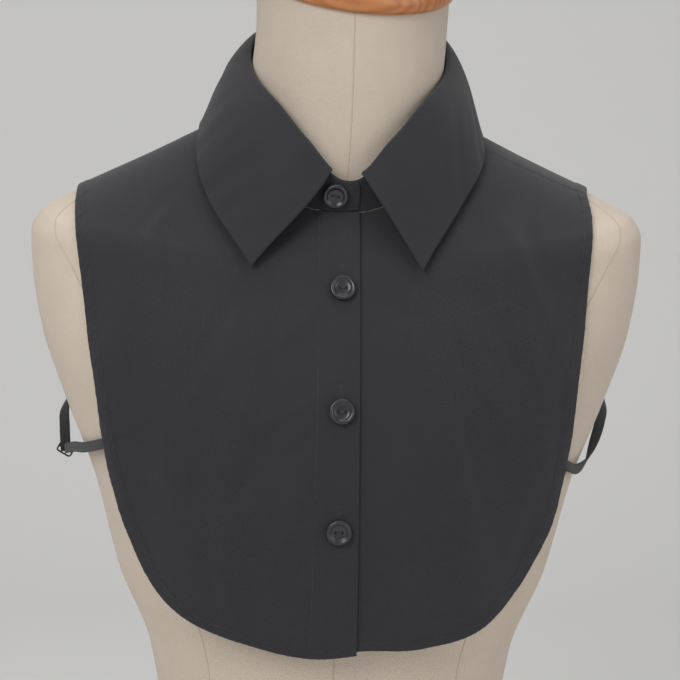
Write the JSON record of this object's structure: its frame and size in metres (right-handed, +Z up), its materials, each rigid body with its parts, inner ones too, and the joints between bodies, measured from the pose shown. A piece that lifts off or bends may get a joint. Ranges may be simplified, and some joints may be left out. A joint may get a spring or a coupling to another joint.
{
  "type": "detachable shirt collar on a dress form",
  "caption": "Detachable shirt collar: point collar on a buttoned stand with a round front and back bib and elastic side straps, worn by a limbless linen dress form.",
  "frame": {"origin": "middle of the dress form's flat underside", "axes": "+Z up, -Y to the front that is buttoned, +X to the wearer's left"},
  "size_m": [0.3798, 0.2468, 0.7116],
  "materials": {
    "black_poplin": "matt woven cotton",
    "black_button": "semi-gloss",
    "black_elastic": "ribbed elastic",
    "black_slider": "satin",
    "form_linen": "plain woven linen",
    "honey_wood": "turned and varnished"
  },
  "bodies": {
    "root": {"torso": "form_linen", "neck_cap": "honey_wood", "right_front": "black_poplin", "left_front": "black_poplin", "back": "black_poplin", "collar_stand": "black_poplin", "collar_leaf": "black_poplin", "button_1": "black_button", "button_2": "black_button", "button_3": "black_button", "button_4": "black_button", "strap_right_front": "black_elastic", "strap_right_back": "black_elastic", "strap_left": "black_elastic", "slider_right": "black_slider"}
  },
  "joints": []
}
